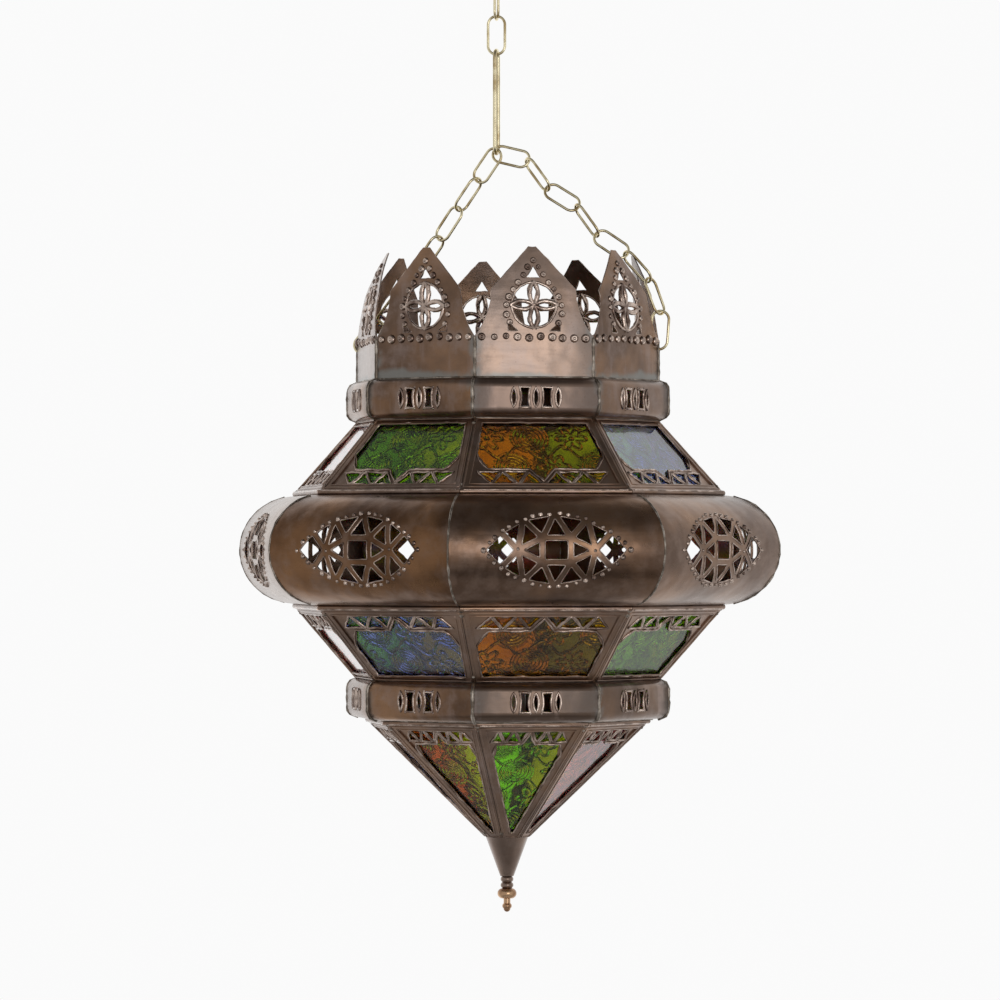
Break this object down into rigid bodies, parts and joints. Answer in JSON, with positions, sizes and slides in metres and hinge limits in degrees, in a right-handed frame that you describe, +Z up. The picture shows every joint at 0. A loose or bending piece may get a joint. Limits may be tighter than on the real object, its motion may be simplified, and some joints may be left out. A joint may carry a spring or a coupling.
{
  "type": "hanging fanous lantern",
  "caption": "Eight-sided hanging lantern of pierced dark copper sheet with coloured glass panes, a petalled crown, a brass finial and a brass bridle chain.",
  "frame": {"origin": "top of the hanging ring's inside, where the ring sits on its hook", "axes": "+Z up along the hanging chain, X along the bridle from its left hook to its right hook"},
  "size_m": [0.3599, 0.3598, 0.6358],
  "materials": {
    "dark_copper": "hammered, oxidised dark brown, glossy, worn bright on edges",
    "chain_brass": "drawn wire, lightly tarnished",
    "plain_tin": "dull tinned sheet",
    "amber_glass": "pressed relief",
    "green_glass": "pressed relief",
    "blue_glass": "pressed relief",
    "red_glass": "pressed relief"
  },
  "bodies": {
    "ring": {"hanging_ring": "chain_brass"},
    "top_link": {"top_link": "chain_brass"},
    "mid_link": {"mid_link": "chain_brass"},
    "long_link": {"long_link": "chain_brass"},
    "bridle": {"left_bridle_chain": "chain_brass", "right_bridle_chain": "chain_brass"},
    "lantern": {"crown_panel_1": "dark_copper", "crown_panel_2": "dark_copper", "crown_panel_3": "dark_copper", "crown_panel_4": "dark_copper", "crown_panel_5": "dark_copper", "crown_panel_6": "dark_copper", "crown_panel_7": "dark_copper", "crown_panel_8": "dark_copper", "upper_frame_1": "dark_copper", "upper_frame_2": "dark_copper", "upper_frame_3": "dark_copper", "upper_frame_4": "dark_copper", "upper_frame_5": "dark_copper", "upper_frame_6": "dark_copper", "upper_frame_7": "dark_copper", "upper_frame_8": "dark_copper", "belly_panel_1": "dark_copper", "belly_panel_2": "dark_copper", "belly_panel_3": "dark_copper", "belly_panel_4": "dark_copper", "belly_panel_5": "dark_copper", "belly_panel_6": "dark_copper", "belly_panel_7": "dark_copper", "belly_panel_8": "dark_copper", "lower_frame_1": "dark_copper", "lower_frame_2": "dark_copper", "lower_frame_3": "dark_copper", "lower_frame_4": "dark_copper", "lower_frame_5": "dark_copper", "lower_frame_6": "dark_copper", "lower_frame_7": "dark_copper", "lower_frame_8": "dark_copper", "bottom_frame_1": "dark_copper", "bottom_frame_2": "dark_copper", "bottom_frame_3": "dark_copper", "bottom_frame_4": "dark_copper", "bottom_frame_5": "dark_copper", "bottom_frame_6": "dark_copper", "bottom_frame_7": "dark_copper", "bottom_frame_8": "dark_copper", "upper_band": "dark_copper", "lower_band": "dark_copper", "tip_cone": "dark_copper", "finial_collar": "dark_copper", "amber_panes": "amber_glass", "green_panes": "green_glass", "blue_panes": "blue_glass", "red_panes": "red_glass", "candle_strap": "plain_tin", "candle_cup": "plain_tin", "cup_rivet": "plain_tin", "finial": "chain_brass", "left_hook_link": "chain_brass", "right_hook_link": "chain_brass"}
  },
  "joints": [
    {"name": "ring_sway", "type": "hinge", "parent": "ring", "child": "top_link", "pos_m": [0, 0, -0.0285], "axis": [1, 0, 0], "range_deg": [-30, 30]},
    {"name": "link_swing", "type": "hinge", "parent": "top_link", "child": "mid_link", "pos_m": [0, 0, -0.0507], "axis": [0, 1, 0], "range_deg": [-30, 30]},
    {"name": "link_twist", "type": "hinge", "parent": "mid_link", "child": "long_link", "pos_m": [0, 0, -0.07225], "axis": [0, 0, 1], "range_deg": [-25, 25]},
    {"name": "bridle_swing", "type": "hinge", "parent": "long_link", "child": "bridle", "pos_m": [0, 0, -0.1382], "axis": [0, 1, 0], "range_deg": [-20, 20]},
    {"name": "lantern_rock", "type": "hinge", "parent": "bridle", "child": "lantern", "pos_m": [-0.07835, 0, -0.24831], "axis": [0.9996, 0, 0.0275], "range_deg": [-15, 15]}
  ]
}
